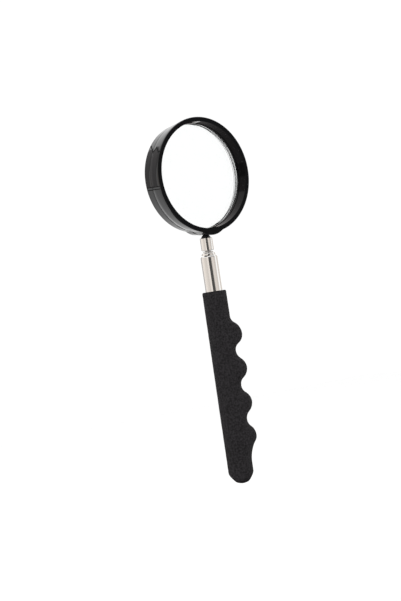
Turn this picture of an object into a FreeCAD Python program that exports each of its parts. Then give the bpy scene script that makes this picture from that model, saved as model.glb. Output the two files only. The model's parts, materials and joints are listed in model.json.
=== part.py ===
import FreeCAD, Part
import math
import os
import Sketcher

# A telescoping inspection mirror, in millimetres.
#
# Frame: +Z runs along the handle towards the mirror, -Y is the way the mirror faces, and the origin
# is on the handle's axis, in the middle of the straight tail of the grip. The sections are pushed in.
#
# Each sub-part is one object of the document, sized from the sheet "Sizes". Pieces of the head are
# drawn about the centre of the hoop, with the hoop's axis along Y, and placed at the hoop's height.

Vector = FreeCAD.Vector

# ---------------------------------------------------------------- driving dimensions

SIZES = {
    # foam grip, heights from the origin
    "grip_radius": 6.15,
    "tail_radius": 5.95,
    "tail_half": 4.4,           # half of the straight tail
    "grip_top": 85.7,
    "grip_edge": 0.8,
    "bump_turn": -39.1,         # the finger bumps are turned this far from +X, about Z
    # telescoping tubes, outermost first
    "tube_radius": 4.35,
    "tube_wall": 0.4,
    "tube_bottom": -4.0,
    "tube_top": 103.9,
    "tube_roll": 1.5,
    "second_radius": 3.55,
    "second_top": 105.2,
    "third_radius": 2.85,
    "third_top": 105.75,
    "fourth_radius": 2.2,
    "fourth_top": 105.85,
    "section_wall": 0.3,
    "section_roll": 1.0,
    "small_roll": 0.7,
    "section_bottom": 2.2,
    "rod_radius": 1.55,
    "rod_wall": 0.4,
    "rod_top": 105.8,
    "running_gap": 0.05,        # radial clearance of every sliding or turning fit
    "sleeve_height": 7.0,
    "sleeve_lift": 1.0,
    "sleeve_slit": 0.7,
    # plug in the foot of the outer tube
    "plug_height": 6.0,
    "plug_flange": 0.8,
    "plug_tip_radius": 2.2,
    # swivel ferrule and the ball in it
    "ferrule_bottom": 106.1,
    "ferrule_height": 6.3,
    "ferrule_radius": 3.25,
    "ferrule_floor": 0.9,
    "ball_radius": 2.5,
    "ball_drop": 0.6,           # ball centre below the ferrule's top
    "swivel_neck": 1.25,
    "swivel_head": 2.2,
    "stem_radius": 1.2,
    "rivet_radius": 0.9,
    "stem_reach": 3.5,          # ball centre to the underside of the bracket
    # head
    "hoop_drop": 31.45,         # ball centre to hoop centre
    "front_face": -6.3,
    "rear_face": 7.1,
    "parting": 1.1,
    "front_radius": 28.85,
    "rear_radius": 27.05,
    "front_edge": 0.35,
    "rear_edge": 0.9,
    "parting_edge": 0.15,
    "mouth_radius": 26.5,
    "mouth_foot_radius": 26.4,
    "pocket_radius": 27.0,      # round the glass
    "lip_radius": 26.2,
    "lip_front": -1.4,
    "lip_back": 0.1,
    "lobe_drop": 18.05,
    "lobe_front_radius": 12.0,
    "lobe_rear_radius": 10.6,
    "relief_radius": 3.5,
    "relief_width": 6.9,
    "glass_radius": 26.8,
    "glass_thickness": 3.0,
    "silver_thickness": 0.1,
    "pad_thickness": 0.8,
    "pad_radius": 25.2,
    "bracket_air": 0.6,         # between the bracket and the back wall
    "back_wall": 1.5,
    "shell_bore": 25.6,
    "pedestal_radius": 15.5,
    "rib_thickness": 1.2,
    "bracket_thickness": 0.8,
    "bracket_width": 6.4,
    "bracket_top": -17.0,
    "boss_radius": 2.2,
    "screw_radius": 1.0,
    "screw_head_radius": 1.9,
    "screw_head_height": 0.7,
    "screw_spread": 4.5,
    "screw_height": -20.0,
}

FINGER_COUNT = 4
FINGER_PITCH = 17.2             # from one finger bump to the next
RIB_COUNT = 5                   # an odd number leaves the foot free for the bracket
PRESS_GAP = 0.01                # radial clearance of a pressed or screwed fit
FOAM_GAP = 0.02                 # between the foam and the tube it is slipped over
POCKET_GAP = 0.05               # round the stud and the bracket inside the head
SCREW_SINK = 0.1                # screw heads lie this far below the back
OVERCUT = 1                     # how far a cutter runs past the face it opens


class Size:
    """A number and the sheet formula that gives it, kept together."""

    def __init__(self, value, text):
        self.value = value
        self.text = text

    def __add__(self, other):
        return join(self, other, "+", self.value + plain(other))

    def __radd__(self, other):
        return join(other, self, "+", plain(other) + self.value)

    def __sub__(self, other):
        return join(self, other, "-", self.value - plain(other))

    def __rsub__(self, other):
        return join(other, self, "-", plain(other) - self.value)

    def __mul__(self, other):
        return join(self, other, "*", self.value * plain(other))

    def __rmul__(self, other):
        return join(other, self, "*", plain(other) * self.value)

    def __truediv__(self, other):
        return join(self, other, "/", self.value / plain(other))

    def __neg__(self):
        return Size(-self.value, "(0 - " + self.text + ")")


def plain(size):
    return size.value if isinstance(size, Size) else float(size)


def formula(size):
    return size.text if isinstance(size, Size) else "({:.6g})".format(float(size))


def join(left, right, sign, value):
    return Size(value, "(" + formula(left) + " " + sign + " " + formula(right) + ")")


def leg(slant, other_leg):
    """The third side of a right-angled triangle."""
    value = math.sqrt(plain(slant) ** 2 - plain(other_leg) ** 2)
    return Size(value, "sqrt(" + formula(slant) + "^2 - " + formula(other_leg) + "^2)")


class Sheet:
    """The spreadsheet's cells as attributes."""

    def __init__(self, document):
        sheet = document.addObject("Spreadsheet::Sheet", "Sizes")
        for row, (name, value) in enumerate(SIZES.items(), start=1):
            cell = "B{}".format(row)
            sheet.set("A{}".format(row), name)
            sheet.set(cell, str(value))
            sheet.setAlias(cell, name)
            setattr(self, name, Size(value, "Sizes." + name))


doc = FreeCAD.newDocument("InspectionMirror")
cell = Sheet(doc)
doc.recompute()
subparts = []


# ---------------------------------------------------------------- drawing helpers

def new_body(name, height=0.0, turn=None):
    """A named body, moved up by height and, if asked, turned about Z."""
    body = doc.addObject("PartDesign::Body", name)
    body.Label = name
    if isinstance(height, Size):
        body.setExpression("Placement.Base.z", height.text)
    if turn is not None:
        body.Placement = FreeCAD.Placement(Vector(0, 0, 0), FreeCAD.Rotation(Vector(0, 0, 1), 1))
        body.setExpression("Placement.Rotation.Angle", turn.text)
    subparts.append(body)
    return body


def set_sizes(feature, **sizes):
    """Bind properties of a feature to the sheet. A double underscore stands for a dot."""
    for name, size in sizes.items():
        feature.setExpression(name.replace("__", "."), formula(size))


def new_sketch(body, name, plane, lift=None):
    """An empty sketch on one of the body's own origin planes, lifted off it if asked."""
    sketch = body.newObject("Sketcher::SketchObject", name)
    support = [item for item in body.Origin.OriginFeatures if item.Role == plane][0]
    sketch.AttachmentSupport = [(support, "")]
    sketch.MapMode = "FlatFace"
    if lift is not None:
        set_sizes(sketch, AttachmentOffset__Base__z=lift)
    return sketch


def bend_edge(start, end, radius):
    """An arc from start to end: a positive radius turns left, a negative one right."""
    chord = end - start
    reach = abs(radius)
    rise = math.sqrt(max(reach ** 2 - (chord.Length / 2) ** 2, 0.0))
    left = Vector(-chord.y, chord.x, 0).normalize()
    centre = (start + end) / 2 + left * math.copysign(rise, radius)
    first, last = (start, end) if radius > 0 else (end, start)
    from_angle = math.atan2(first.y - centre.y, first.x - centre.x)
    to_angle = math.atan2(last.y - centre.y, last.x - centre.x)
    circle = Part.Circle(centre, Vector(0, 0, 1), reach)
    return Part.ArcOfCircle(circle, from_angle, to_angle if to_angle > from_angle else to_angle + 2 * math.pi)


def bind_coordinate(sketch, edge, point, kind, axis, size):
    """Fix one coordinate of a corner, on the axis itself where it is zero."""
    if not isinstance(size, Size) and size == 0:
        sketch.addConstraint(Sketcher.Constraint("PointOnObject", edge, point, axis))
        return
    number = sketch.addConstraint(Sketcher.Constraint(kind, -1, 1, edge, point, plain(size)))
    if isinstance(size, Size):
        sketch.setExpression("Constraints[{}]".format(number), size.text)


def draw_outline(sketch, corners):
    """A closed outline. A corner is (x, y), or (x, y, radius) where the edge after it is an arc."""
    count = len(corners)
    places = [Vector(plain(corner[0]), plain(corner[1]), 0) for corner in corners]
    first_edge = sketch.GeometryCount
    ends = []
    for index, corner in enumerate(corners):
        start = places[index]
        end = places[(index + 1) % count]
        bend = corner[2] if len(corner) == 3 else None
        if bend is None:
            edge = sketch.addGeometry(Part.LineSegment(start, end), False)
        else:
            edge = sketch.addGeometry(bend_edge(start, end, plain(bend)), False)
        backwards = bend is not None and plain(bend) < 0
        ends.append((edge, 2, 1) if backwards else (edge, 1, 2))
    for index in range(count):
        before = ends[index - 1]
        after = ends[index]
        sketch.addConstraint(Sketcher.Constraint("Coincident", before[0], before[2], after[0], after[1]))
    vertical_axis, horizontal_axis = -2, -1
    for index, corner in enumerate(corners):
        edge, point, _ = ends[index]
        bind_coordinate(sketch, edge, point, "DistanceX", vertical_axis, corner[0])
        bind_coordinate(sketch, edge, point, "DistanceY", horizontal_axis, corner[1])
    for index, corner in enumerate(corners):
        if len(corner) < 3:
            continue
        reach = corner[2] if plain(corner[2]) > 0 else -corner[2]
        if math.isclose((places[index] - places[(index + 1) % count]).Length, 2 * plain(reach)):
            centre_on_chord(sketch, first_edge + index, corner)
            continue
        number = sketch.addConstraint(Sketcher.Constraint("Radius", first_edge + index, plain(reach)))
        if isinstance(reach, Size):
            sketch.setExpression("Constraints[{}]".format(number), reach.text)


def centre_on_chord(sketch, edge, corner):
    """A half circle over an upright chord: its radius follows from its ends, its centre needs a place."""
    bind_coordinate(sketch, edge, 3, "DistanceX", -2, corner[0])


def turned(body, name, kind, plane, axis, corners, axis_height=None):
    """Add or cut (kind) the solid that an outline sweeps about an axis of its own sketch."""
    sketch = new_sketch(body, name + "_outline", plane)
    if axis_height is not None:
        set_sizes(sketch, AttachmentOffset__Base__y=axis_height)
    draw_outline(sketch, corners)
    feature = body.newObject("PartDesign::" + kind, name)
    feature.Profile = (sketch, [""])
    feature.ReferenceAxis = (sketch, [axis])
    feature.Angle = 360
    return feature


def turned_z(body, name, corners, kind="Revolution"):
    """Corners are (radius, height) about the handle's axis."""
    return turned(body, name, kind, "XZ_Plane", "V_Axis", corners)


def turned_y(body, name, corners, kind="Revolution", axis_height=None):
    """Corners are (depth, radius) about the hoop's axis, or about one at another height."""
    return turned(body, name, kind, "YZ_Plane", "H_Axis", corners, axis_height)


def box(body, name, kind, low, high):
    """Add or cut a box between two corners."""
    feature = body.newObject("PartDesign::" + kind + "Box", name)
    spans = [high[axis] - low[axis] for axis in range(3)]
    set_sizes(feature, Length=spans[0], Width=spans[1], Height=spans[2])
    set_sizes(feature, Placement__Base__x=low[0], Placement__Base__y=low[1], Placement__Base__z=low[2])
    return feature


def cylinder(body, name, kind, base, direction, radius, length):
    """Add or cut a cylinder that starts at base and runs along direction."""
    feature = body.newObject("PartDesign::" + kind + "Cylinder", name)
    set_sizes(feature, Radius=radius, Height=length)
    feature.Placement = FreeCAD.Placement(Vector(0, 0, 0), FreeCAD.Rotation(Vector(0, 0, 1), direction))
    set_sizes(feature, Placement__Base__x=base[0], Placement__Base__y=base[1], Placement__Base__z=base[2])
    return feature


# ---------------------------------------------------------------- handle

def bump_section(body, index, height, reach):
    """One cross-section of the finger side: a round core drawn out sideways by reach."""
    inset = 0.2
    core = cell.grip_radius - inset
    sketch = new_sketch(body, "bump_section_{}".format(index), "XY_Plane", height)
    draw_outline(sketch, [(0, -core), (reach, -core, core), (reach, core), (0, core, core)])
    return sketch


def foam_grip():
    """A foam sleeve with a slightly thinner, round-ended tail, and four finger bumps along one side."""
    body = new_body("foam_grip", turn=cell.bump_turn)
    rounding = cell.grip_edge
    tail_tip = -cell.tail_half - cell.tail_radius
    turned_z(body, "sleeve", [
        (0, tail_tip, cell.tail_radius),
        (cell.tail_radius, -cell.tail_half),
        (cell.tail_radius, cell.tail_half),
        (cell.grip_radius, cell.tail_half + (cell.grip_radius - cell.tail_radius)),
        (cell.grip_radius, cell.grip_top - rounding, rounding),
        (cell.grip_radius - rounding, cell.grip_top),
        (0, cell.grip_top),
    ])
    # Down from the top of the grip: the start, then crest and valley by turns, then the run-out.
    first_crest = 22.8
    stations = [(14.0, 0.1), (18.2, 2.5)]
    for finger in range(FINGER_COUNT):
        crest = first_crest + FINGER_PITCH * finger
        stations.append((crest, 4.9 - 0.15 * finger))
        if finger < FINGER_COUNT - 1:
            stations.append((crest + 3.9, 2.9))
            stations.append((crest + 7.2, 0.5 + 0.1 * finger))
            stations.append((crest + 12.2, 2.6))
    stations.append((78.2, 2.4))
    stations.append((81.2, 0.3))
    sketches = []
    for index, (drop, reach) in enumerate(stations):
        sketches.append(bump_section(body, index, cell.grip_top - drop, reach))
    loft = body.newObject("PartDesign::AdditiveLoft", "finger_bumps")
    loft.Profile = (sketches[0], [""])
    loft.Sections = [(sketch, [""]) for sketch in sketches[1:]]
    loft.Ruled = True
    fit = cell.tube_radius + FOAM_GAP
    tip = cell.plug_tip_radius + FOAM_GAP
    flange_bottom = cell.tube_bottom - cell.plug_flange - FOAM_GAP
    turned_z(body, "bore", [
        (0, tail_tip - OVERCUT),
        (tip, tail_tip - OVERCUT),
        (tip, flange_bottom),
        (fit, flange_bottom),
        (fit, cell.grip_top + OVERCUT),
        (0, cell.grip_top + OVERCUT),
    ], "Groove")


def base_plug():
    """Closes the foot of the outer tube. Its round tip shows in the end of the grip."""
    body = new_body("base_plug")
    crown = cell.tail_radius
    tip_height = -cell.tail_half - leg(crown, cell.plug_tip_radius)
    bore = cell.tube_radius - cell.tube_wall - PRESS_GAP
    turned_z(body, "plug", [
        (0, -cell.tail_half - crown, crown),
        (cell.plug_tip_radius, tip_height),
        (cell.plug_tip_radius, cell.tube_bottom - cell.plug_flange),
        (cell.tube_radius, cell.tube_bottom - cell.plug_flange),
        (cell.tube_radius, cell.tube_bottom),
        (bore, cell.tube_bottom),
        (bore, cell.tube_bottom + cell.plug_height),
        (0, cell.tube_bottom + cell.plug_height),
    ])


def rolled_tube(name, bottom, top, radius, wall, roll, inner_radius):
    """A drawn tube whose upper rim is rolled in until it just clears the tube inside it."""
    body = new_body(name, bottom)
    lip = inner_radius + cell.running_gap
    bend_radius = radius - roll
    bend_height = top - bottom - roll
    outer_rise = leg(roll, lip - bend_radius)
    inner_rise = leg(roll - wall, lip - bend_radius)
    turned_z(body, "tube", [
        (radius - wall, 0),
        (radius, 0),
        (radius, bend_height, roll),
        (lip, bend_height + outer_rise),
        (lip, bend_height + inner_rise, wall - roll),
        (radius - wall, bend_height),
    ])


def friction_sleeve(name, bottom, radius, parent_bore):
    """A split spring sleeve on the foot of a section. It drags in the bore of the next larger tube."""
    body = new_body(name, bottom + cell.sleeve_lift)
    outer = parent_bore - cell.running_gap
    edge = 0.1
    turned_z(body, "sleeve", [
        (radius + PRESS_GAP, 0),
        (outer - edge, 0),
        (outer, edge),
        (outer, cell.sleeve_height - edge),
        (outer - edge, cell.sleeve_height),
        (radius + PRESS_GAP, cell.sleeve_height),
    ])
    half = cell.sleeve_slit / 2
    box(body, "slit", "Subtractive", (0, -half, -OVERCUT),
        (outer + OVERCUT, half, cell.sleeve_height + OVERCUT))


def inner_rod():
    """The innermost section, a plain thick tube."""
    body = new_body("inner_rod", cell.section_bottom)
    height = cell.rod_top - cell.section_bottom
    bore = cell.rod_radius - cell.rod_wall
    edge = 0.15
    turned_z(body, "tube", [
        (bore, 0),
        (cell.rod_radius - edge, 0),
        (cell.rod_radius, edge),
        (cell.rod_radius, height),
        (bore, height),
    ])


def telescoping_sections():
    """The outer tube, three rolled sections and the rod, each with its sleeve."""
    rolled_tube("outer_tube", cell.tube_bottom, cell.tube_top, cell.tube_radius, cell.tube_wall,
                cell.tube_roll, cell.second_radius)
    chain = [
        ("tube_section_2", cell.second_top, cell.second_radius, cell.section_roll, cell.third_radius),
        ("tube_section_3", cell.third_top, cell.third_radius, cell.small_roll, cell.fourth_radius),
        ("tube_section_4", cell.fourth_top, cell.fourth_radius, cell.small_roll, cell.rod_radius),
    ]
    parent_bore = cell.tube_radius - cell.tube_wall
    for number, (name, top, radius, roll, inner_radius) in enumerate(chain, start=2):
        rolled_tube(name, cell.section_bottom, top, radius, cell.section_wall, roll, inner_radius)
        friction_sleeve("friction_sleeve_{}".format(number), cell.section_bottom, radius, parent_bore)
        parent_bore = radius - cell.section_wall
    inner_rod()
    friction_sleeve("friction_sleeve_rod", cell.section_bottom, cell.rod_radius, parent_bore)


# ---------------------------------------------------------------- swivel

def swivel_stem():
    """Pressed into the rod. The ferrule is rolled in under its head, and turns on its neck."""
    body = new_body("swivel_stem", cell.rod_top)
    shank = cell.rod_radius - cell.rod_wall - PRESS_GAP
    floor = cell.ferrule_bottom - cell.rod_top
    head_bottom = floor + cell.ferrule_floor + cell.running_gap
    head_height = 0.8
    head_top = head_bottom + head_height
    shank_length = 8.0
    turned_z(body, "stem", [
        (0, -shank_length),
        (shank, -shank_length),
        (shank, 0),
        (cell.rod_radius, 0),
        (cell.rod_radius, floor - cell.running_gap),
        (cell.swivel_neck, floor - cell.running_gap),
        (cell.swivel_neck, head_bottom),
        (cell.swivel_head, head_bottom),
        (cell.swivel_head, head_top),
        (0, head_top),
    ])


def swivel_ferrule():
    """A turned cup: its floor turns on the swivel stem and its rim is closed in over the ball."""
    body = new_body("swivel_ferrule", cell.ferrule_bottom)
    socket = cell.ball_radius + cell.running_gap
    centre = cell.ferrule_height - cell.ball_drop
    mouth = leg(socket, cell.ball_drop)
    edge = 0.2
    turned_z(body, "cup", [
        (cell.swivel_neck + cell.running_gap, 0),
        (cell.ferrule_radius - edge, 0),
        (cell.ferrule_radius, edge),
        (cell.ferrule_radius, cell.ferrule_height - edge),
        (cell.ferrule_radius - edge, cell.ferrule_height),
        (mouth, cell.ferrule_height, -socket),
        (socket, centre),
        (socket, cell.ferrule_floor),
        (cell.swivel_neck + cell.running_gap, cell.ferrule_floor),
    ])


def ball_seat():
    """A ring of slippery plastic with a hollow that fits under the ball."""
    body = new_body("ball_seat", cell.ferrule_bottom)
    hollow = cell.ball_radius + cell.running_gap
    centre = cell.ferrule_height - cell.ball_drop
    bore = 0.9
    foot = 2.6
    rim_drop = 1.1
    rim = centre - rim_drop
    turned_z(body, "ring", [
        (bore, foot),
        (cell.ball_radius, foot),
        (cell.ball_radius, rim),
        (leg(hollow, centre - rim), rim, -hollow),
        (bore, centre - leg(hollow, bore)),
    ])


def spring_washer():
    """A cone washer that pushes the seat against the ball."""
    body = new_body("spring_washer", cell.ferrule_bottom)
    clearance = 0.1
    outer = cell.ball_radius - clearance
    inner = 0.95
    stem_head_room = 0.95
    foot = cell.ferrule_floor + stem_head_room
    thickness = 0.3
    rise = 0.4
    turned_z(body, "washer", [
        (outer, foot),
        (outer, foot + thickness),
        (inner, foot + thickness + rise),
        (inner, foot + rise),
    ])


# ---------------------------------------------------------------- head

ball_height = cell.ferrule_bottom + cell.ferrule_height - cell.ball_drop
hoop_height = ball_height + cell.hoop_drop
hoop_depth = cell.rear_face - cell.front_face


def rim_radius(depth):
    """The hoop's outer radius at a depth. It tapers to the rear."""
    taper = (cell.front_radius - cell.rear_radius) / hoop_depth
    return cell.front_radius - taper * (depth - cell.front_face)


def lobe_radius(depth):
    taper = (cell.lobe_front_radius - cell.lobe_rear_radius) / hoop_depth
    return cell.lobe_front_radius - taper * (depth - cell.front_face)


def blank_outline(front, rear, radius_at, front_edge, rear_edge):
    """Half the section of a tapered disc whose front and rear corners are rounded where asked."""
    corners = [(front, 0)]
    if front_edge:
        corners.append((front, radius_at(front) - front_edge, -front_edge))
        corners.append((front + front_edge, radius_at(front + front_edge)))
    else:
        corners.append((front, radius_at(front)))
    if rear_edge:
        corners.append((rear - rear_edge, radius_at(rear - rear_edge), -rear_edge))
        corners.append((rear, radius_at(rear) - rear_edge))
    else:
        corners.append((rear, radius_at(rear)))
    corners.append((rear, 0))
    return corners


def head_blank(body, front, rear, front_edge, rear_edge):
    """A tapered disc between two depths, with the lobe at its foot."""
    turned_y(body, "disc", blank_outline(front, rear, rim_radius, front_edge, rear_edge))
    turned_y(body, "lobe", blank_outline(front, rear, lobe_radius, front_edge, rear_edge),
             axis_height=-cell.lobe_drop)


def cut_for_ball_stud(body):
    """Room under the lobe for the ferrule to tilt, and inside it for the stem and the bracket."""
    reach = cell.relief_width / 2
    cylinder(body, "ferrule_relief", "Subtractive", (-reach, 0.0, -cell.hoop_drop), Vector(1, 0, 0),
             cell.relief_radius, cell.relief_width)
    cylinder(body, "stem_hole", "Subtractive", (0.0, 0.0, -cell.hoop_drop), Vector(0, 0, 1),
             cell.stem_radius + POCKET_GAP, cell.stem_reach + POCKET_GAP)
    half = cell.bracket_width / 2 + POCKET_GAP
    foot = -cell.hoop_drop + cell.stem_reach
    bracket_front, bracket_rear = bracket_depths()
    box(body, "bracket_foot_slot", "Subtractive", (-half, bracket_front - POCKET_GAP, foot - POCKET_GAP),
        (half, bracket_rear + POCKET_GAP, foot + cell.bracket_thickness + POCKET_GAP))


def bracket_depths():
    """Front edge of the bracket's foot and rear face of its upright."""
    edge_margin = 0.2
    return -cell.stem_radius - edge_margin, cell.rear_face - cell.back_wall - cell.bracket_air


def bezel_ring():
    """The front half of the hoop, with the lip that keeps the mirror in."""
    body = new_body("bezel_ring", hoop_height)
    head_blank(body, cell.front_face, cell.parting, cell.front_edge, cell.parting_edge)
    turned_y(body, "opening", [
        (cell.front_face - OVERCUT, 0),
        (cell.front_face - OVERCUT, cell.mouth_radius),
        (cell.front_face, cell.mouth_radius),
        (cell.lip_front, cell.mouth_foot_radius),
        (cell.lip_front, cell.lip_radius),
        (cell.lip_back, cell.lip_radius),
        (cell.lip_back, cell.pocket_radius),
        (cell.parting + OVERCUT, cell.pocket_radius),
        (cell.parting + OVERCUT, 0),
    ], "Groove")
    cut_for_ball_stud(body)


def back_shell():
    """The closed rear half of the hoop, with a pedestal and ribs that back the mirror."""
    body = new_body("back_shell", hoop_height)
    head_blank(body, cell.parting, cell.rear_face, cell.parting_edge, cell.rear_edge)
    inner_face = cell.rear_face - cell.back_wall
    glass_play = 0.2
    ledge = cell.lip_back + cell.glass_thickness + glass_play
    turned_y(body, "hollow", [
        (cell.parting - OVERCUT, 0),
        (cell.parting - OVERCUT, cell.pocket_radius),
        (ledge, cell.pocket_radius),
        (ledge, cell.shell_bore),
        (inner_face, cell.shell_bore),
        (inner_face, 0),
    ], "Groove")
    pedestal_front = cell.lip_back + cell.glass_thickness + cell.silver_thickness + cell.pad_thickness
    turned_y(body, "pedestal", [
        (pedestal_front, cell.pedestal_radius - cell.rib_thickness),
        (pedestal_front, cell.pedestal_radius),
        (inner_face, cell.pedestal_radius),
        (inner_face, cell.pedestal_radius - cell.rib_thickness),
    ])
    bite = 0.5
    rib_sketch = new_sketch(body, "rib_outline", "YZ_Plane")
    draw_outline(rib_sketch, [
        (pedestal_front, cell.pedestal_radius - bite),
        (inner_face + bite, cell.pedestal_radius - bite),
        (inner_face + bite, cell.shell_bore + bite),
        (pedestal_front, cell.shell_bore + bite),
    ])
    rib = body.newObject("PartDesign::Pad", "rib")
    rib.Profile = (rib_sketch, [""])
    rib.Midplane = True
    set_sizes(rib, Length=cell.rib_thickness)
    doc.recompute()
    ribs = body.newObject("PartDesign::PolarPattern", "ribs")
    ribs.Originals = [rib]
    ribs.Axis = (rib_sketch, ["H_Axis"])
    ribs.Angle = 360
    ribs.Occurrences = RIB_COUNT
    body.Tip = ribs
    cut_for_ball_stud(body)
    half = cell.bracket_width / 2 + POCKET_GAP
    _, upright_rear = bracket_depths()
    box(body, "upright_slot", "Subtractive",
        (-half, upright_rear - cell.bracket_thickness - POCKET_GAP,
         -cell.hoop_drop + cell.stem_reach - POCKET_GAP),
        (half, upright_rear + POCKET_GAP, -cell.shell_bore + OVERCUT))
    backwards = Vector(0, 1, 0)
    seat = cell.rear_face - cell.screw_head_height - SCREW_SINK
    for side, name in ((-1, "left"), (1, "right")):
        place = side * cell.screw_spread
        cylinder(body, name + "_boss", "Additive", (place, upright_rear, cell.screw_height), backwards,
                 cell.boss_radius, cell.bracket_air + PRESS_GAP)
        cylinder(body, name + "_hole", "Subtractive", (place, upright_rear - OVERCUT, cell.screw_height),
                 backwards, cell.screw_radius + POCKET_GAP, cell.rear_face - upright_rear + 2 * OVERCUT)
        cylinder(body, name + "_counterbore", "Subtractive", (place, seat, cell.screw_height), backwards,
                 cell.screw_head_radius + SCREW_SINK, cell.screw_head_height + OVERCUT)


def mirror_pieces():
    """The glass with its ground edge, the silver behind it, and the foam pad behind that."""
    ground = 0.3
    front = cell.lip_back + PRESS_GAP
    rear = cell.lip_back + cell.glass_thickness
    glass = new_body("mirror_glass", hoop_height)
    turned_y(glass, "plate", [
        (front, 0),
        (front, cell.glass_radius - ground),
        (front + ground, cell.glass_radius),
        (rear - ground, cell.glass_radius),
        (rear, cell.glass_radius - ground),
        (rear, 0),
    ])
    silver = new_body("silver_backing", hoop_height)
    silver_rear = rear + cell.silver_thickness
    silver_radius = cell.glass_radius - ground
    turned_y(silver, "film", [(rear, 0), (rear, silver_radius), (silver_rear, silver_radius),
                              (silver_rear, 0)])
    pad = new_body("mirror_pad", hoop_height)
    pad_rear = silver_rear + cell.pad_thickness
    turned_y(pad, "pad", [(silver_rear, 0), (silver_rear, cell.pad_radius), (pad_rear, cell.pad_radius),
                          (pad_rear, 0)])


def ball_stud():
    """The ball in the ferrule, with its stem riveted to the bracket."""
    body = new_body("ball_stud", ball_height)
    turned_z(body, "stud", [
        (0, -cell.ball_radius, cell.ball_radius),
        (cell.ball_radius, 0, cell.ball_radius),
        (cell.stem_radius, leg(cell.ball_radius, cell.stem_radius)),
        (cell.stem_radius, cell.stem_reach),
        (cell.rivet_radius, cell.stem_reach),
        (cell.rivet_radius, cell.stem_reach + cell.bracket_thickness),
        (0, cell.stem_reach + cell.bracket_thickness),
    ])


def stud_bracket():
    """An angle of sheet steel: the stud is riveted to its foot, two screws hold its upright."""
    body = new_body("stud_bracket", hoop_height)
    front, rear = bracket_depths()
    foot = -cell.hoop_drop + cell.stem_reach
    sketch = new_sketch(body, "angle_outline", "YZ_Plane")
    draw_outline(sketch, [
        (front, foot),
        (rear, foot),
        (rear, cell.bracket_top),
        (rear - cell.bracket_thickness, cell.bracket_top),
        (rear - cell.bracket_thickness, foot + cell.bracket_thickness),
        (front, foot + cell.bracket_thickness),
    ])
    angle = body.newObject("PartDesign::Pad", "angle")
    angle.Profile = (sketch, [""])
    angle.Midplane = True
    set_sizes(angle, Length=cell.bracket_width)
    screw_margin = 2.6
    wing = cell.screw_spread + screw_margin
    box(body, "wings", "Additive", (-wing, rear - cell.bracket_thickness, cell.screw_height - screw_margin),
        (wing, rear, cell.bracket_top))
    through = cell.bracket_thickness + 2 * OVERCUT
    cylinder(body, "stud_hole", "Subtractive", (0.0, 0.0, foot - OVERCUT), Vector(0, 0, 1),
             cell.rivet_radius + PRESS_GAP, through)
    for side, name in ((-1, "left"), (1, "right")):
        base = (side * cell.screw_spread, rear - cell.bracket_thickness - OVERCUT, cell.screw_height)
        cylinder(body, name + "_thread", "Subtractive", base, Vector(0, 1, 0), cell.screw_radius + PRESS_GAP,
                 through)


def bracket_screws():
    """Two flat-headed screws from the back, with crossed slots."""
    body = new_body("left_screw", hoop_height)
    subparts.remove(body)
    head_rear = cell.rear_face - SCREW_SINK
    head_front = head_rear - cell.screw_head_height
    _, upright_rear = bracket_depths()
    proud = 0.1
    shank_front = upright_rear - cell.bracket_thickness - proud
    turned_y(body, "screw", [
        (shank_front, 0),
        (shank_front, cell.screw_radius),
        (head_front, cell.screw_radius),
        (head_front, cell.screw_head_radius),
        (head_rear, cell.screw_head_radius),
        (head_rear, 0),
    ])
    depth = 0.4
    half_long = 1.2
    half_wide = 0.25
    for name, across, along in (("slot", half_long, half_wide), ("cross_slot", half_wide, half_long)):
        box(body, name, "Subtractive", (-across, head_rear - depth, -along),
            (across, head_rear + OVERCUT, along))
    pair = doc.addObject("Part::Compound", "bracket_screws")
    pair.Label = "bracket_screws"
    copies = []
    for side in (-1, 1):
        copy = doc.addObject("Part::Feature", "screw_{}".format(len(copies)))
        doc.recompute()
        copy.Shape = body.Shape.copy()
        place = Vector(side * plain(cell.screw_spread), 0, plain(hoop_height + cell.screw_height))
        copy.Placement = FreeCAD.Placement(place, FreeCAD.Rotation())
        copies.append(copy)
    pair.Links = copies
    subparts.append(pair)


# ---------------------------------------------------------------- build and write

def check_document():
    """Stop if any object failed, or any sub-part has no sound solid."""
    for item in doc.Objects:
        if "Invalid" in item.State or "Error" in item.State:
            raise RuntimeError("{} failed: {}".format(item.Label, item.State))
    for item in subparts:
        if item.Shape.isNull() or not item.Shape.isValid() or item.Shape.Volume <= 0:
            raise RuntimeError("{} has no sound shape".format(item.Label))


foam_grip()
base_plug()
telescoping_sections()
swivel_stem()
swivel_ferrule()
ball_seat()
spring_washer()
bezel_ring()
back_shell()
mirror_pieces()
ball_stud()
stud_bracket()
bracket_screws()
doc.recompute()
check_document()
os.makedirs("parts", exist_ok=True)
for item in subparts:
    item.Shape.exportStep("parts/{}.step".format(item.Label))
    bounds = item.Shape.BoundBox
    print("{:20s} {:9.1f} mm3  {} solids  x {:.1f}..{:.1f}  y {:.1f}..{:.1f}  z {:.1f}..{:.1f}".format(
        item.Label, item.Shape.Volume, len(item.Shape.Solids), bounds.XMin, bounds.XMax,
        bounds.YMin, bounds.YMax, bounds.ZMin, bounds.ZMax))
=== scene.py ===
import json
import math

import bmesh
import bpy
from mathutils import Matrix, Vector, noise


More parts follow.
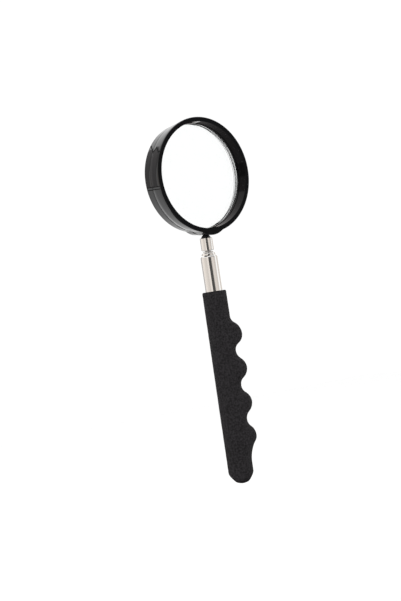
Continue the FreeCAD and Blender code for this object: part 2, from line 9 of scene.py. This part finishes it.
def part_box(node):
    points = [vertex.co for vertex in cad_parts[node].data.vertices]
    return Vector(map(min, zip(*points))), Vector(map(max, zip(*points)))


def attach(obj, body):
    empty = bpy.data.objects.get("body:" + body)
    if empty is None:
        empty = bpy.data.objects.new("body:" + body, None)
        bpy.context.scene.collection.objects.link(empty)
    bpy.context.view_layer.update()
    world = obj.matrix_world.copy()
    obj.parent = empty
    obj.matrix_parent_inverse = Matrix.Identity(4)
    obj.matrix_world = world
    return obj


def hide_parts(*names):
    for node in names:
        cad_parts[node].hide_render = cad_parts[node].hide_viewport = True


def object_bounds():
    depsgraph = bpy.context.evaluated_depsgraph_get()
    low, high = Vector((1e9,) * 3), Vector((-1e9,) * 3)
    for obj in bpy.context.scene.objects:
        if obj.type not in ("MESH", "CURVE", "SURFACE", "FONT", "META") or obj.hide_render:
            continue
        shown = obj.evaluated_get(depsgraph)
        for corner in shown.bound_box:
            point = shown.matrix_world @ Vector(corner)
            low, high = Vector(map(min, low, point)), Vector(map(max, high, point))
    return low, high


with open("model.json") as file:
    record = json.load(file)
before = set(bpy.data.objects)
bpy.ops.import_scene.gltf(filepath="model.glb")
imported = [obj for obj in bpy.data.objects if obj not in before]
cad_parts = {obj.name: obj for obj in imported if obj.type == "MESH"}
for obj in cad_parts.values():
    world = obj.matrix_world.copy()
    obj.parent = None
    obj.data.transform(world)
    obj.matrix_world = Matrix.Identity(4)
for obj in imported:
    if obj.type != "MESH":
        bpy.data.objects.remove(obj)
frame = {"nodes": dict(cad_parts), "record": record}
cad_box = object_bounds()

# The looks of a telescoping inspection mirror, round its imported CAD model. Metres, +Z along the
# handle towards the mirror, -Y the way the mirror faces, the origin in the middle of the grip's tail.

MM = 0.001
FINGER_TURN = math.radians(-39.1)       # the way the finger bumps point, from +X about Z

GLASS_LOW, GLASS_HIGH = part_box("mirror_glass")
HOOP = (GLASS_LOW + GLASS_HIGH) / 2     # the middle of the mirror
FLOOR_LEVEL = cad_box[0].z - 58 * MM    # the object floats clear of the floor, as it is pictured


# ---------------------------------------------------------------- camera, light and floor

def link(thing):
    bpy.context.scene.collection.objects.link(thing)
    return thing


def facing(place, target):
    """A matrix at place whose -Z looks at target."""
    turn = (target - place).to_track_quat("-Z", "Y")
    return Matrix.Translation(place) @ turn.to_matrix().to_4x4()


def camera():
    """Square to the handle and to the finger bumps, which stand out on the right of the picture."""
    across = Vector((math.cos(FINGER_TURN), math.sin(FINGER_TURN), 0))
    upwards = Vector((0, 0, 1))
    forwards = upwards.cross(across)
    lean = math.radians(8.7)
    right = across * math.cos(lean) - upwards * math.sin(lean)
    up = upwards * math.cos(lean) + across * math.sin(lean)
    aim = across * -7.3 * MM + upwards * 82.2 * MM      # the middle of the picture
    distance = 1.0
    data = bpy.data.cameras.new("camera")
    data.lens = 121
    data.sensor_width = 36
    eye = link(bpy.data.objects.new("camera", data))
    eye.matrix_world = Matrix.Translation(aim - forwards * distance) @ Matrix(
        (right, up, -forwards)).transposed().to_4x4()
    bpy.context.scene.camera = eye


def around(bearing, elevation, distance):
    """A place round the hoop. Bearing 0 is where the camera stands, and it grows to the picture's right."""
    turn = FINGER_TURN - math.radians(90) + math.radians(bearing)
    rise = math.radians(elevation)
    way = Vector((math.cos(turn) * math.cos(rise), math.sin(turn) * math.cos(rise), math.sin(rise)))
    return HOOP + way * distance


def softbox(name, bearing, elevation, distance, width, height, power):
    """A lamp with a rectangular face, turned to the hoop."""
    data = bpy.data.lights.new(name, "AREA")
    data.shape = "RECTANGLE"
    data.size = width
    data.size_y = height
    data.energy = power
    lamp = link(bpy.data.objects.new(name, data))
    lamp.matrix_world = facing(around(bearing, elevation, distance), HOOP)
    lamp.visible_camera = False


def panel(name, width, height, matrix):
    """A flat rectangle of mesh."""
    mesh = bpy.data.meshes.new(name)
    x, y = width / 2, height / 2
    mesh.from_pydata([(-x, -y, 0), (x, -y, 0), (x, y, 0), (-x, y, 0)], [], [(0, 1, 2, 3)])
    thing = link(bpy.data.objects.new(name, mesh))
    thing.matrix_world = matrix
    return thing


def card(name, bearing, elevation, distance, width, height, shade):
    """A card that faces the hoop."""
    shade_card(name, facing(around(bearing, elevation, distance), HOOP), width, height, shade)


def shade_card(name, matrix, width, height, shade):
    """A card beside the light, seen only as a patch of its shade in polished metal or plastic."""
    sheet = panel(name, width, height, matrix)
    sheet.visible_camera = False
    sheet.visible_diffuse = False
    sheet.visible_shadow = False
    sheet.visible_transmission = False
    look = Look(name, (0, 0, 0), 1.0)
    look.surface.inputs["Specular IOR Level"].default_value = 0
    look.surface.inputs["Emission Color"].default_value = (*shade, 1)
    look.surface.inputs["Emission Strength"].default_value = 1.0
    sheet.data.materials.append(look.material)


# Cards that shade the reflections: bearing, elevation, distance, width, height and shade.
CARDS = {
    "streak": (8, 0, 1.25, 0.82, 1.6, (0.08, 0.078, 0.075)),
    "wall_shade": (-127, 13.2, 1.35, 0.65, 0.87, (0.46, 0.44, 0.44)),
    "rim_shade": (78, 4, 1.25, 0.3, 0.17, (0.1, 0.1, 0.1)),
    "low_sky_shade": (6, 23, 1.2, 0.7, 0.5, (0.18, 0.17, 0.17)),
    "sky_shade": (48, 34, 1.0, 1.3, 0.62, (0.42, 0.4, 0.4)),
}
FLOOR_CARD_BEARING = 30                 # one more card lies on the floor
FLOOR_CARD_DISTANCE = 0.52
# Cards in bands round the tool: bearing, half angle and brightness. They draw the long stripes in the chrome.
BANDS = [(-15, 4, 0.85), (-25, 6, 0.72), (-41, 9, 0.63), (-62, 12, 0.72), (-92, 18, 0.84),
         (28, 6, 0.6), (46, 12, 0.69), (70, 12, 0.61), (128, 20, 0.66)]
BAND_DISTANCE = 1.35
BAND_HEIGHT = 1.5
BAND_TINT = (1.07, 1.0, 0.94)           # a little warm


def studio():
    """Plain white light from all round, two soft boxes, and the cards."""
    scene = bpy.context.scene
    scene.view_settings.view_transform = "Standard"
    scene.view_settings.look = "None"
    world = bpy.data.worlds.new("studio")
    world.use_nodes = True
    world.node_tree.nodes["Background"].inputs["Color"].default_value = (1, 1, 1, 1)
    world.node_tree.nodes["Background"].inputs["Strength"].default_value = 1.03
    scene.world = world
    softbox("overhead", 180, 78, 0.9, 0.8, 0.8, 1.6)
    softbox("rear_top", -157, 29, 1.6, 1.0, 1.1, 0.9)
    for name, settings in CARDS.items():
        card(name, *settings)
    place = around(FLOOR_CARD_BEARING, 0, FLOOR_CARD_DISTANCE)
    place.z = FLOOR_LEVEL + 2 * MM
    turn = Matrix.Rotation(FINGER_TURN - math.radians(90 - FLOOR_CARD_BEARING), 4, "Z")
    shade_card("floor_shade", Matrix.Translation(place) @ turn, 1.6, 1.3, (0.17, 0.16, 0.16))
    for number, (bearing, half_angle, brightness) in enumerate(BANDS):
        width = 2 * BAND_DISTANCE * math.tan(math.radians(half_angle))
        shade = tuple(brightness * tint for tint in BAND_TINT)
        card("band_{}".format(number), bearing, 0, BAND_DISTANCE, width, BAND_HEIGHT, shade)


def floor():
    sheet = panel("floor", 3.0, 3.0, Matrix.Translation(Vector((0, 0, FLOOR_LEVEL))))
    look = Look("pale_paper", (0.96, 0.96, 0.96), 0.9)
    look.bump(look.noise(1.2 * MM), 0.05 * MM)
    sheet.data.materials.append(look.material)


# ---------------------------------------------------------------- materials

class Look:
    """A material: one Principled surface and the textures that feed it, in the object's own metres."""

    def __init__(self, name, colour, roughness, metallic=0.0):
        self.material = bpy.data.materials.new(name)
        self.material.use_nodes = True
        self.tree = self.material.node_tree
        self.surface = self.tree.nodes["Principled BSDF"]
        self.surface.inputs["Base Color"].default_value = (*colour, 1)
        self.surface.inputs["Roughness"].default_value = roughness
        self.surface.inputs["Metallic"].default_value = metallic
        self.place = self.tree.nodes.new("ShaderNodeTexCoord").outputs["Object"]

    def add(self, kind, **inputs):
        """A node with inputs given by name, with _ for a space. An input is a number or another output."""
        node = self.tree.nodes.new(kind)
        for name, value in inputs.items():
            self.feed(node.inputs[name.replace("_", " ")], value)
        return node

    def feed(self, socket, value):
        if isinstance(value, bpy.types.NodeSocket):
            self.tree.links.new(value, socket)
        else:
            socket.default_value = value

    def noise(self, size, detail=2.0, stretch=(1, 1, 1)):
        """Soft noise whose spots are size across, drawn out along an axis by stretch."""
        scaled = self.add("ShaderNodeMapping", Vector=self.place)
        scaled.inputs["Scale"].default_value = [1 / (size * amount) for amount in stretch]
        return self.add("ShaderNodeTexNoise", Vector=scaled.outputs[0], Scale=1.0, Detail=detail).outputs[0]

    def cells(self, size):
        """Cells about size across, darkest in their middles."""
        scaled = self.add("ShaderNodeMapping", Vector=self.place)
        scaled.inputs["Scale"].default_value = [1 / size] * 3
        node = self.tree.nodes.new("ShaderNodeTexVoronoi")
        self.feed(node.inputs["Vector"], scaled.outputs[0])
        self.feed(node.inputs["Scale"], 1.0)
        return node.outputs[0]

    def between(self, factor, low, high, start=0.0, end=1.0):
        """Carries factor, from start to end, over to low to high."""
        node = self.add("ShaderNodeMapRange", Value=factor)
        node.inputs["From Min"].default_value = start
        node.inputs["From Max"].default_value = end
        node.inputs["To Min"].default_value = low
        node.inputs["To Max"].default_value = high
        return node.outputs[0]

    def maths(self, operation, first, second=0.0):
        node = self.tree.nodes.new("ShaderNodeMath")
        node.operation = operation
        self.feed(node.inputs[0], first)
        self.feed(node.inputs[1], second)
        return node.outputs[0]

    def roughness(self, factor, low, high, start=0.3, end=0.7):
        self.feed(self.surface.inputs["Roughness"], self.between(factor, low, high, start, end))

    def colour(self, factor, first, second):
        node = self.tree.nodes.new("ShaderNodeMix")
        node.data_type = "RGBA"
        self.feed(node.inputs["Factor"], factor)
        node.inputs["A"].default_value = (*first, 1)
        node.inputs["B"].default_value = (*second, 1)
        colour = [socket for socket in node.outputs if socket.type == "RGBA"][0]
        self.feed(self.surface.inputs["Base Color"], colour)

    def bump(self, height, depth, strength=1.0):
        """Relief of that depth. A second call lies over the first."""
        socket = self.surface.inputs["Normal"]
        below = socket.links[0].from_socket if socket.links else None
        node = self.add("ShaderNodeBump", Height=height, Strength=strength, Distance=depth)
        if below is not None:
            self.feed(node.inputs["Normal"], below)
        self.feed(socket, node.outputs[0])


def gloss_plastic(name):
    """Black moulded plastic: a polished skin with a faint flow, handling marks and dust."""
    look = Look(name, (0.003, 0.003, 0.0035), 0.04)
    look.surface.inputs["IOR"].default_value = 1.45
    marks = look.noise(3 * MM, 4.0, (1, 1, 0.25))
    look.colour(marks, (0.0022, 0.0022, 0.0027), (0.0045, 0.0045, 0.005))
    look.roughness(marks, 0.03, 0.07)
    look.bump(look.noise(9 * MM, 1.0), 0.02 * MM)
    look.bump(look.noise(0.35 * MM, 3.0), 0.0006 * MM)
    return look.material


def clear_glass():
    look = Look("clear_glass", (0.995, 1.0, 0.998), 0.0)
    look.surface.inputs["Transmission Weight"].default_value = 1.0
    look.surface.inputs["IOR"].default_value = 1.52
    return look.material


# Painted shade: a grey ring in the mirror silver stands in for the dark image of the glass's ground edge.
PAINTED_SHADE_LINE = 26.45 * MM                  # its radius, just inside the edge of the glass
PAINTED_SHADE_LINE_EDGES = (0.2 * MM, 0.3 * MM)       # how far off that radius the grey starts to fade, and ends


def silver_film():
    """Mirror silver, with a thin grey line of painted shade near the rim: the dark image of the ground edge.
    """
    look = Look("silver_film", (0.995, 0.995, 0.995), 0.0, 1.0)
    sides = look.add("ShaderNodeSeparateXYZ", Vector=look.place)
    height = look.maths("SUBTRACT", sides.outputs["Z"], HOOP.z)
    radius = look.maths("SQRT", look.maths("ADD", look.maths("POWER", sides.outputs["X"], 2.0),
                                           look.maths("POWER", height, 2.0)))
    off_shade_line = look.maths("ABSOLUTE", look.maths("SUBTRACT", radius, PAINTED_SHADE_LINE))
    on_shade_line = look.between(off_shade_line, 1.0, 0.0, *PAINTED_SHADE_LINE_EDGES)
    # the dark colour on the ring is painted shade, not a colour of the silver
    look.colour(on_shade_line, (0.995, 0.995, 0.995), (0.05, 0.05, 0.05))
    return look.material


def plain_silver():
    return Look("plain_silver", (0.99, 0.99, 0.99), 0.0, 1.0).material


def soft_foam(name, shade):
    look = Look(name, (shade, shade, shade), 0.9)
    cells = look.cells(0.45 * MM)
    look.colour(cells, (shade * 0.6,) * 3, (shade * 1.5,) * 3)
    look.bump(cells, 0.12 * MM)
    return look.material


# Painted shade: below this height the grip's end is painted darker, and it is made smoother.
SHADED_TAIL_TOP = cad_box[0].z + 1.3 * MM    # below this the grip's end is smooth and darker


def grip_foam():
    """Black closed-cell foam rubber: a fine broken skin of cells, greyer where hands have rubbed it."""
    look = Look("grip_foam", (0.02, 0.02, 0.021), 0.8)
    cells = look.cells(0.5 * MM)
    fine = look.noise(0.22 * MM, 3.0)
    wear = look.noise(7 * MM, 3.0)
    speckle = look.between(look.noise(0.85 * MM, 2.0), 0.0, 1.0, 0.36, 0.64)
    patches = look.maths("ADD", look.maths("MULTIPLY", cells, 0.3), look.maths("MULTIPLY", wear, 0.3))
    mixed = look.maths("ADD", patches, look.maths("MULTIPLY", speckle, 0.55))
    sides = look.add("ShaderNodeSeparateXYZ", Vector=look.place)
    # 0 on the tail and 1 above it: painted shade darkens the tail's colour, and its roughness drops so it
    #                               shines more
    tail_gloss_and_shade = look.between(sides.outputs["Z"], 0.0, 1.0, SHADED_TAIL_TOP - 0.5 * MM, SHADED_TAIL_TOP + 0.5 * MM)
    look.colour(look.maths("MULTIPLY", mixed, tail_gloss_and_shade), (0.0006, 0.0005, 0.0006), (0.029, 0.0265, 0.0295))
    look.feed(look.surface.inputs["Roughness"], look.between(tail_gloss_and_shade, 0.3, 0.85))
    look.surface.inputs["Specular IOR Level"].default_value = 0.2
    look.bump(cells, 0.1 * MM, 0.7)
    look.bump(fine, 0.05 * MM, 0.6)
    return look.material


def chrome(name, tone):
    """Bright chromium on drawn brass: faint long draw lines, hairline rubs round the tube, light haze."""
    look = Look(name, tone, 0.06, 1.0)
    drawn = look.noise(1.1 * MM, 2.0, (1, 1, 60))
    haze = look.noise(2.5 * MM, 4.0)
    darker = tuple(amount * 0.93 for amount in tone)
    lighter = tuple(min(amount * 1.05, 1.0) for amount in tone)
    look.colour(look.between(drawn, 0.0, 1.0, 0.3, 0.7), darker, lighter)
    look.roughness(haze, 0.05, 0.11)
    look.bump(look.noise(0.4 * MM, 2.0, (1, 1, 80)), 0.0006 * MM)
    look.bump(look.noise(0.12 * MM, 2.0, (12, 12, 1)), 0.0004 * MM)
    return look.material


def metal(name, tone, roughness, grain):
    """Plain turned or stamped metal with a fine grain."""
    look = Look(name, tone, roughness, 1.0)
    rubs = look.noise(grain, 3.0, (6, 6, 1))
    look.colour(rubs, tuple(amount * 0.8 for amount in tone), tone)
    look.roughness(rubs, roughness * 0.7, roughness * 1.4)
    look.bump(rubs, 0.004 * MM)
    return look.material


def dull_plastic(name, tone, roughness):
    look = Look(name, tone, roughness)
    flow = look.noise(0.8 * MM, 3.0)
    look.colour(flow, tuple(amount * 0.85 for amount in tone), tone)
    look.roughness(flow, roughness * 0.8, roughness * 1.2)
    look.bump(flow, 0.006 * MM)
    return look.material


def paint_nodes():
    """One look for each material slot, and the slot's look for every CAD node."""
    warm = (0.93, 0.915, 0.89)
    bronze = (0.72, 0.5, 0.26)
    steel = (0.62, 0.62, 0.63)
    looks = {
        "hoop_plastic": gloss_plastic("hoop_plastic"),
        "shell_plastic": gloss_plastic("shell_plastic"),
        "seam_wall": dull_plastic("seam_wall", (0.004, 0.004, 0.004), 0.8),
        "clear_glass": clear_glass(),
        "silver": silver_film(),
        "pad_foam": soft_foam("pad_foam", 0.1),
        "grip_foam": grip_foam(),
        "chromed_brass": chrome("chromed_brass", warm),
        "ferrule_chrome": chrome("ferrule_chrome", warm),
        "spring_bronze": metal("spring_bronze", bronze, 0.3, 0.3 * MM),
        "bright_steel": metal("bright_steel", steel, 0.25, 0.2 * MM),
        "black_steel": dull_plastic("black_steel", (0.02, 0.02, 0.022), 0.35),
        "seat_plastic": dull_plastic("seat_plastic", (0.8, 0.79, 0.74), 0.4),
        "plug_plastic": dull_plastic("plug_plastic", (0.004, 0.004, 0.004), 0.1),
    }
    for entry in frame["record"]["subparts"]:
        node = frame["nodes"][entry["node"]]
        finish = looks[entry["material_slot"]]
        if not node.material_slots:
            node.data.materials.append(finish)
        for place in node.material_slots:
            place.material = finish
    return looks


# ---------------------------------------------------------------- meshes

def skin_rings(name, rings, capped):
    """A closed mesh from rings of points, each joined to the next.

    Capped, it has a flat face on the first ring and on the last. Otherwise the last is joined to the first.
    """
    mesh = bpy.data.meshes.new(name)
    skin = bmesh.new()
    corners = [[skin.verts.new(point) for point in ring] for ring in rings]
    following = corners[1:] if capped else corners[1:] + corners[:1]
    for lower, upper in zip(corners, following):
        for index in range(len(lower)):
            beside = (index + 1) % len(lower)
            skin.faces.new((lower[index], lower[beside], upper[beside], upper[index]))
    if capped:
        skin.faces.new(corners[0])
        skin.faces.new(corners[-1])
    bmesh.ops.recalc_face_normals(skin, faces=skin.faces)
    skin.to_mesh(mesh)
    skin.free()
    return link(bpy.data.objects.new(name, mesh))


def smooth_loop(name, rings):
    """A smooth closed mesh whose last ring is joined to the first."""
    thing = skin_rings(name, rings, False)
    for face in thing.data.polygons:
        face.use_smooth = True
    return thing


TURNED_SIDES = 192


def hoop_circle(depth, radius):
    """Points round the hoop's axis."""
    turns = [2 * math.pi * index / TURNED_SIDES for index in range(TURNED_SIDES)]
    return [Vector((radius * math.cos(turn), depth, HOOP.z + radius * math.sin(turn))) for turn in turns]


def turned_solid(name, corners):
    """A solid turned on the hoop's axis. Its (depth, radius) corners run from one flat end to the other."""
    return skin_rings(name, [hoop_circle(depth, radius) for depth, radius in corners], True)


# ---------------------------------------------------------------- mirror

GROUND = 0.3 * MM                       # the ground edge of the glass
FILM_GAP = 0.02 * MM                    # between the glass and its silver
FILM_SKIN = 0.06 * MM                   # the silver's thickness


def glass_plate(looks):
    """The glass: a round plate, ground round the front edge only."""
    radius = GLASS_HIGH.x
    plate = turned_solid("glass_plate", [
        (GLASS_LOW.y, radius - GROUND), (GLASS_LOW.y + GROUND, radius), (GLASS_HIGH.y, radius)])
    plate.data.materials.append(looks["clear_glass"])
    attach(plate, "head")
    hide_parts("mirror_glass")


def mirror_silver(looks):
    """The silver: a shallow cup, a hair outside the rear and the edge of the glass, to keep the light in."""
    floor_depth = GLASS_HIGH.y + FILM_GAP
    wall_radius = GLASS_HIGH.x + FILM_GAP
    lip = GLASS_LOW.y + GROUND
    film = turned_solid("silver_film", [
        (floor_depth, wall_radius), (lip, wall_radius), (lip, wall_radius + FILM_SKIN),
        (floor_depth + FILM_SKIN, wall_radius + FILM_SKIN)])
    film.data.materials.append(looks["silver"])
    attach(film, "head")
    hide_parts("silver_backing")


def mirror_for_gloss():
    """What polished plastic sees of the mirror: a plain silver face in front of the glass.

    Only reflected rays meet it. It isn't part of the object. It spares them the long way through the glass.
    """
    gap = 0.06 * MM
    inset = 0.65 * MM
    thickness = 0.02 * MM
    front = GLASS_LOW.y - gap
    radius = GLASS_HIGH.x - inset
    face = turned_solid("mirror_for_gloss", [(front, radius), (front + thickness, radius)])
    face.visible_camera = False
    face.visible_diffuse = False
    face.visible_transmission = False
    face.visible_shadow = False
    face.data.materials.append(plain_silver())
    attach(face, "head")


# ---------------------------------------------------------------- seams

SEAM_DEPTH = 0.3 * MM
# Fine seams on the outside of the hoop, each a width in mm and its points. A point is the angle from the
# hoop's top towards -X, and the depth in mm.
HOOP_SEAMS = [
    (0.75, [(50.5, 6.8), (51.0, 5.2), (60.2, 0.6), (55.2, -1.5), (62.8, -5.0), (61.8, -6.0)]),
    (0.45, [(96.0, 6.2), (97.0, -5.9)]),
    (0.45, [(98.8, 6.2), (99.4, -5.9)]),
]


def on_hoop(angle, depth):
    """A point on the outside of the hoop, which tapers evenly to the rear."""
    ring_low, ring_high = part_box("bezel_ring")
    shell_low, shell_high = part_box("back_shell")
    front_radius = ring_high.z - HOOP.z
    taper = (ring_high.z - shell_high.z) / (shell_low.y - ring_low.y)
    radius = front_radius - taper * (depth * MM - ring_low.y)
    turn = math.radians(angle)
    return HOOP + Vector((-radius * math.sin(turn), depth * MM - HOOP.y, radius * math.cos(turn)))


def seam_cutter(name, width, corners):
    """A mitred bar, half sunk in the hoop, along a seam."""
    places = [on_hoop(angle, depth) for angle, depth in corners]
    runs = [(after - before).normalized() for before, after in zip(places, places[1:])]
    rings = []
    for index, place in enumerate(places):
        before = runs[max(index - 1, 0)]
        after = runs[min(index, len(runs) - 1)]
        outwards = Vector((place.x, 0, place.z - HOOP.z)).normalized()
        side = outwards.cross(before + after).normalized()
        half = width / 2 * MM / abs(side.dot(outwards.cross(after).normalized()))
        foot = place - outwards * SEAM_DEPTH
        top = place + outwards * SEAM_DEPTH
        rings.append((foot - side * half, foot + side * half, top + side * half, top - side * half))
    cutter = skin_rings(name, rings, True)
    cutter.hide_render = True
    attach(cutter, "head")
    return cutter


def seamed_hoop(looks):
    """The two halves of the hoop, with the seams cut into them. The cut's walls are dull."""
    cutters = []
    for number, (width, corners) in enumerate(HOOP_SEAMS):
        cutter = seam_cutter("seam_cutter_{}".format(number), width, corners)
        cutter.data.materials.append(looks["seam_wall"])
        cutters.append(cutter)
    halves = (("hoop_front", "bezel_ring", "hoop_plastic"), ("hoop_rear", "back_shell", "shell_plastic"))
    for name, node, slot in halves:
        half = link(bpy.data.objects.new(name, frame["nodes"][node].data.copy()))
        for cutter in cutters:
            cut = half.modifiers.new("seam", "BOOLEAN")
            cut.object = cutter
            cut.operation = "DIFFERENCE"
            cut.solver = "EXACT"
            cut.material_mode = "TRANSFER"
        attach(half, "head")
        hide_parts(node)
        if name == "hoop_front":
            half.visible_transmission = False   # the pictured mirror shows no image of its own hoop


# ---------------------------------------------------------------- foam

GRIP_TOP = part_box("foam_grip")[1].z / MM
TAIL = [mount for mount in frame["record"]["mounts"] if mount["name"] == "grip_tail"][0]
TAIL_HALF = TAIL["dims"]["length_mm"] / 2
GRIP_LENGTH = GRIP_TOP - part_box("foam_grip")[0].z / MM
# Down from the top of the grip: where the finger side turns, and how far it stands out there.
FINGER_STOPS = [(13.4, 0.0), (22.5, 4.65), (30.7, 0.3), (39.5, 4.5), (48.0, 0.35), (56.5, 4.45),
                (65.0, 0.65), (73.3, 4.15), (86.4, 0.0)]
CREST_SHARE = 0.56                      # of a flank, taken up by the crest's arc
FIRST_CREST_SHARE = 0.65
LAST_CREST_SHARE = 0.2                  # the last bump is pointed, and runs out slowly


def flank(run, length, rise, crest_share):
    """Height above the valley after a run: an arc up from the valley and a tangent arc onto the crest."""
    both_radii = (length ** 2 + rise ** 2) / (2 * rise)
    crest_radius = both_radii * crest_share
    valley_radius = both_radii - crest_radius
    if run < length * (1 - crest_share):
        return valley_radius - math.sqrt(valley_radius ** 2 - run ** 2)
    return rise - crest_radius + math.sqrt(crest_radius ** 2 - (length - run) ** 2)


def bump_reach(height):
    """How far the finger side stands out at a height, in mm."""
    drop = GRIP_TOP - height
    last = len(FINGER_STOPS) - 2
    for number in range(last + 1):
        start, before = FINGER_STOPS[number]
        end, after = FINGER_STOPS[number + 1]
        if start <= drop <= end:
            share = {0: FIRST_CREST_SHARE, last: LAST_CREST_SHARE}.get(number, CREST_SHARE)
            run = drop - start if after > before else end - drop
            return min(before, after) + flank(run, end - start, abs(after - before), share)
    return 0.0


TOP_RADIUS = 5.97                       # mm, at the grip's top
TAIL_SWELL = 0.31                       # mm, added to that at its foot
TAIL_SHIFT = -0.3                       # mm, how far off the tube's axis its foot sits, away from the fingers


def share_down(height):
    """0 at the top of the grip and 1 at its foot."""
    return min((GRIP_TOP - height) / GRIP_LENGTH, 1.0)


def sleeve_radius(height):
    """The foam swells a little towards its tail."""
    return TOP_RADIUS + TAIL_SWELL * share_down(height)


def sleeve_shift(height):
    """Towards its tail the sleeve sits off the tube's axis."""
    return TAIL_SHIFT * share_down(height)


GRIP_SIDES = 144
RING_STEP = 0.28                        # mm between rings
GRIP_EDGE = 0.8                         # mm, rounding of the grip's top edge
DENTS = 0.05                            # mm, the foam's unevenness
TAIL_TAPER = 0.5                        # mm, how far the tail's dome is drawn in half way round
FINGER_NARROWING = 1.4                  # a higher power makes the finger side narrower


def grip_ring(height, radius, reach=0.0, shift=0.0, rough=0.0):
    """One ring of the grip: a circle whose finger side is drawn out by reach, with shallow dents."""
    ring = []
    across = Vector((math.cos(FINGER_TURN), math.sin(FINGER_TURN), 0))
    sideways = Vector((-across.y, across.x, 0))
    for index in range(GRIP_SIDES):
        angle = 2 * math.pi * index / GRIP_SIDES
        pull = ((1 + math.cos(angle)) / 2) ** FINGER_NARROWING
        outwards = across * math.cos(angle) + sideways * math.sin(angle)
        point = outwards * radius + across * (reach * pull + shift) + Vector((0, 0, height))
        dents = noise.noise(point * 0.35) + 0.5 * noise.noise(point * 1.4)
        ring.append((point + outwards * dents * rough) * MM)
    return ring


def foam_sleeve(looks):
    """The foam grip: bored for the tube, stepped at its foot, with four finger bumps."""
    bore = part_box("outer_tube")[1].x / MM + 0.03            # a hair clear of the tube
    flange_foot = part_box("outer_tube")[0].z / MM - 0.85     # under the plug's flange
    hole = 2.24                                             # round the plug's tip
    lead_in = 0.15
    round_depth = TAIL["dims"]["r_mm"]
    tail_radius = sleeve_radius(-TAIL_HALF)
    tail_shift = sleeve_shift(-TAIL_HALF)
    first_angle = math.asin(hole / tail_radius)
    rings = []
    tail_steps = 26
    for number in range(tail_steps):
        share = number / tail_steps
        angle = first_angle + (math.pi / 2 - first_angle) * share
        height = -TAIL_HALF - round_depth * math.cos(angle)
        radius = tail_radius * math.sin(angle) - TAIL_TAPER * math.sin(math.pi * share) ** 2
        rings.append(grip_ring(height, radius, shift=tail_shift * share, rough=DENTS * share))
    straight = GRIP_TOP - GRIP_EDGE + TAIL_HALF
    ring_count = round(straight / RING_STEP)
    for number in range(ring_count):
        height = -TAIL_HALF + straight * number / ring_count
        radius = sleeve_radius(height)
        rings.append(grip_ring(height, radius, bump_reach(height), sleeve_shift(height), DENTS))
    edge_steps = 7
    for number in range(edge_steps + 1):
        angle = math.pi / 2 * number / edge_steps
        radius = sleeve_radius(GRIP_TOP) - GRIP_EDGE * (1 - math.cos(angle))
        height = GRIP_TOP - GRIP_EDGE * (1 - math.sin(angle))
        rings.append(grip_ring(height, radius, rough=DENTS * math.cos(angle)))
    rings.append(grip_ring(GRIP_TOP, bore + lead_in))
    rings.append(grip_ring(GRIP_TOP - lead_in, bore))
    rings.append(grip_ring(flange_foot, bore))
    rings.append(grip_ring(flange_foot, hole))
    sleeve = smooth_loop("foam_sleeve", rings)
    sleeve.data.materials.append(looks["grip_foam"])
    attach(sleeve, "handle")
    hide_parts("foam_grip")


def foam_disc(looks):
    """The foam pad behind the mirror: punched from a sheet, its edge pulled in where it is squeezed."""
    low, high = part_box("mirror_pad")
    radius = high.x
    middle = (low.y + high.y) / 2
    half = (high.y - low.y) / 2 - 0.01 * MM
    punched_hole = 1.5 * MM
    edge_steps = 12
    rings = []
    for number in range(edge_steps + 1):
        angle = math.pi * number / edge_steps
        pull_in = 0.25 * MM * math.sin(angle)
        rings.append(hoop_circle(middle - half * math.cos(angle), radius - pull_in))
    rings.append(hoop_circle(middle + half, punched_hole))
    rings.append(hoop_circle(middle - half, punched_hole))
    pad = smooth_loop("foam_disc", rings)
    pad.data.materials.append(looks["pad_foam"])
    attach(pad, "head")
    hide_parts("mirror_pad")


# ---------------------------------------------------------------- the model

camera()
studio()
floor()
looks = paint_nodes()
foam_sleeve(looks)
foam_disc(looks)
glass_plate(looks)
mirror_silver(looks)
mirror_for_gloss()
seamed_hoop(looks)
